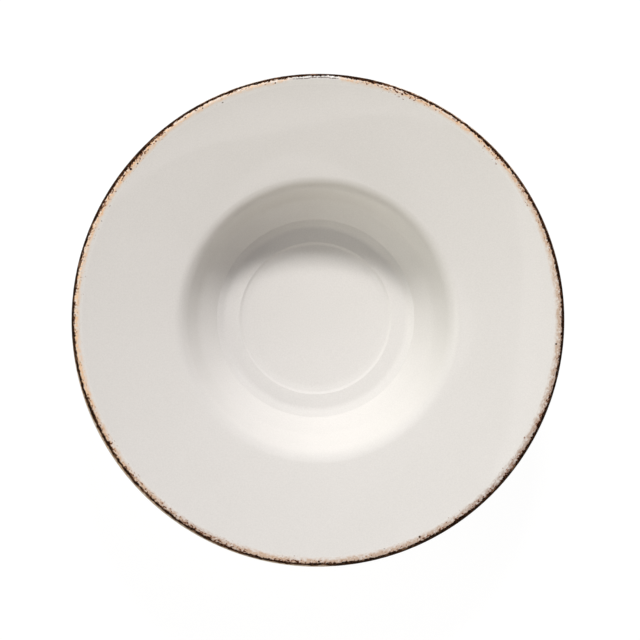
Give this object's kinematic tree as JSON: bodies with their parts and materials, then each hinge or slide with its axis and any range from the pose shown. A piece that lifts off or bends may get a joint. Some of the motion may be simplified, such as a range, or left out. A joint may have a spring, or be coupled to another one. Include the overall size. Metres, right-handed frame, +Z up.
{
  "type": "tasting plate",
  "caption": "Round tasting plate with a wide sloping rim, a deep well with a stepped floor, cream glaze, a worn brown edge and a bare clay foot ring.",
  "frame": {"origin": "on the plate's axis, in the plane of the foot ring's standing face", "axes": "+Z runs up the plate's axis, out of the well; X and Y lie along the table and are free, because the plate is round"},
  "size_m": [0.24, 0.24, 0.0518],
  "materials": {
    "bare_clay": "matte fired stoneware, bare on the foot ring",
    "cream_glaze": "smooth cream glaze with a soft gloss",
    "brown_edge": "brushed dark brown oxide, worn and speckled"
  },
  "bodies": {
    "root": {"clay_body": "bare_clay", "face_glaze": "cream_glaze", "edge_band": "brown_edge", "underside_glaze": "cream_glaze", "foot_recess_glaze": "cream_glaze"}
  },
  "joints": []
}
